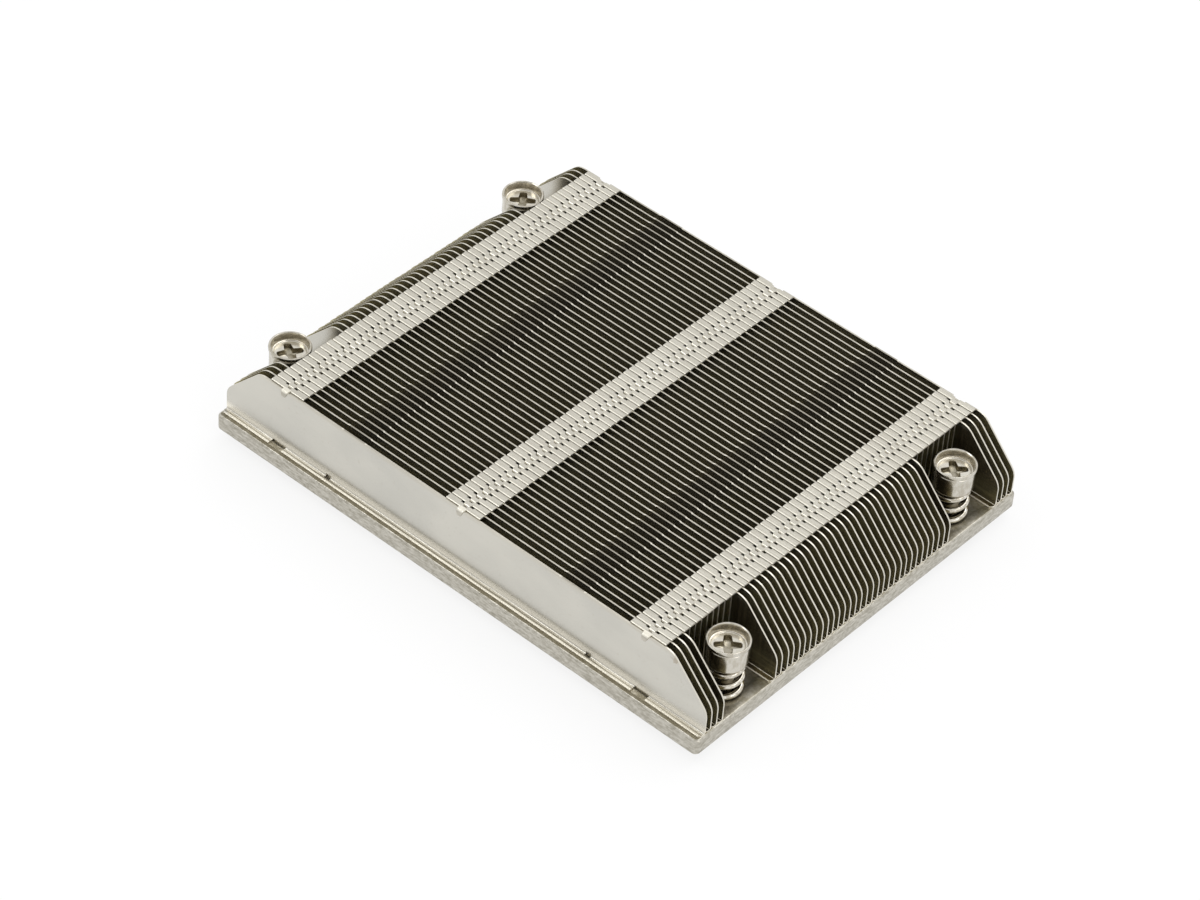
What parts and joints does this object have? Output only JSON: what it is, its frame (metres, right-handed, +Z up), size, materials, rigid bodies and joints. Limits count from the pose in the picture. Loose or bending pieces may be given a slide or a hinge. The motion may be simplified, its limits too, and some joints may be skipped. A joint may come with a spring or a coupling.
{
  "type": "cpu heatsink",
  "caption": "Low passive processor heatsink: a flat base plate under a stack of folded sheet fins, with sprung captive screws standing in notches at the corners.",
  "frame": {"origin": "centre of the contact face under the base plate, which is also the centre of the screw pattern", "axes": "+X along the fins, +Y across the stack away from the first fin, +Z up from the contact face"},
  "size_m": [0.104, 0.0798, 0.018],
  "materials": {
    "base_metal": "matt nickel plate, slightly warm grey, lapped contact face",
    "fin_metal": "thin nickel plated sheet, satin",
    "spring_steel": "bright plated spring wire",
    "screw_steel": "nickel plated turned steel",
    "ring_steel": "plain spring steel"
  },
  "bodies": {
    "sink": {"base_plate": "base_metal", "fin_01": "fin_metal", "fin_02": "fin_metal", "fin_03": "fin_metal", "fin_04": "fin_metal", "fin_13": "fin_metal", "fin_14": "fin_metal", "fin_15": "fin_metal", "fin_16": "fin_metal", "fin_17": "fin_metal", "fin_18": "fin_metal", "fin_19": "fin_metal", "fin_20": "fin_metal", "fin_21": "fin_metal", "fin_22": "fin_metal", "fin_23": "fin_metal", "fin_24": "fin_metal", "fin_25": "fin_metal", "fin_26": "fin_metal", "fin_27": "fin_metal", "fin_28": "fin_metal", "fin_29": "fin_metal", "fin_30": "fin_metal", "fin_31": "fin_metal", "fin_32": "fin_metal", "fin_33": "fin_metal", "fin_34": "fin_metal", "fin_35": "fin_metal", "fin_36": "fin_metal", "fin_37": "fin_metal", "fin_38": "fin_metal", "fin_39": "fin_metal", "fin_40": "fin_metal", "fin_41": "fin_metal", "fin_42": "fin_metal", "fin_43": "fin_metal", "fin_44": "fin_metal", "fin_53": "fin_metal", "fin_54": "fin_metal", "fin_55": "fin_metal", "fin_56": "fin_metal", "front_pocket_fins": "fin_metal", "rear_pocket_fins": "fin_metal", "spring_1": "spring_steel", "spring_2": "spring_steel", "spring_3": "spring_steel", "spring_4": "spring_steel"},
    "ring_1": {"retaining_ring_1": "ring_steel"},
    "screw_1": {"captive_screw_1": "screw_steel"},
    "ring_2": {"retaining_ring_2": "ring_steel"},
    "screw_2": {"captive_screw_2": "screw_steel"},
    "ring_3": {"retaining_ring_3": "ring_steel"},
    "screw_3": {"captive_screw_3": "screw_steel"},
    "ring_4": {"retaining_ring_4": "ring_steel"},
    "screw_4": {"captive_screw_4": "screw_steel"}
  },
  "joints": [
    {"name": "screw_travel_1", "type": "slide", "parent": "sink", "child": "ring_1", "axis": [0, 0, -1], "range_m": [0, 0.0022], "stiffness_N_per_m": 1800, "deforming": ["spring_1"]},
    {"name": "screw_turn_1", "type": "hinge", "parent": "ring_1", "child": "screw_1", "pos_m": [-0.047, -0.028, 0], "axis": [0, 0, 1], "continuous": true},
    {"name": "screw_travel_2", "type": "slide", "parent": "sink", "child": "ring_2", "axis": [0, 0, -1], "range_m": [0, 0.0022], "stiffness_N_per_m": 1800, "deforming": ["spring_2"]},
    {"name": "screw_turn_2", "type": "hinge", "parent": "ring_2", "child": "screw_2", "pos_m": [0.047, -0.028, 0], "axis": [0, 0, 1], "continuous": true},
    {"name": "screw_travel_3", "type": "slide", "parent": "sink", "child": "ring_3", "axis": [0, 0, -1], "range_m": [0, 0.0022], "stiffness_N_per_m": 1800, "deforming": ["spring_3"]},
    {"name": "screw_turn_3", "type": "hinge", "parent": "ring_3", "child": "screw_3", "pos_m": [-0.047, 0.028, 0], "axis": [0, 0, 1], "continuous": true},
    {"name": "screw_travel_4", "type": "slide", "parent": "sink", "child": "ring_4", "axis": [0, 0, -1], "range_m": [0, 0.0022], "stiffness_N_per_m": 1800, "deforming": ["spring_4"]},
    {"name": "screw_turn_4", "type": "hinge", "parent": "ring_4", "child": "screw_4", "pos_m": [0.047, 0.028, 0], "axis": [0, 0, 1], "continuous": true}
  ]
}
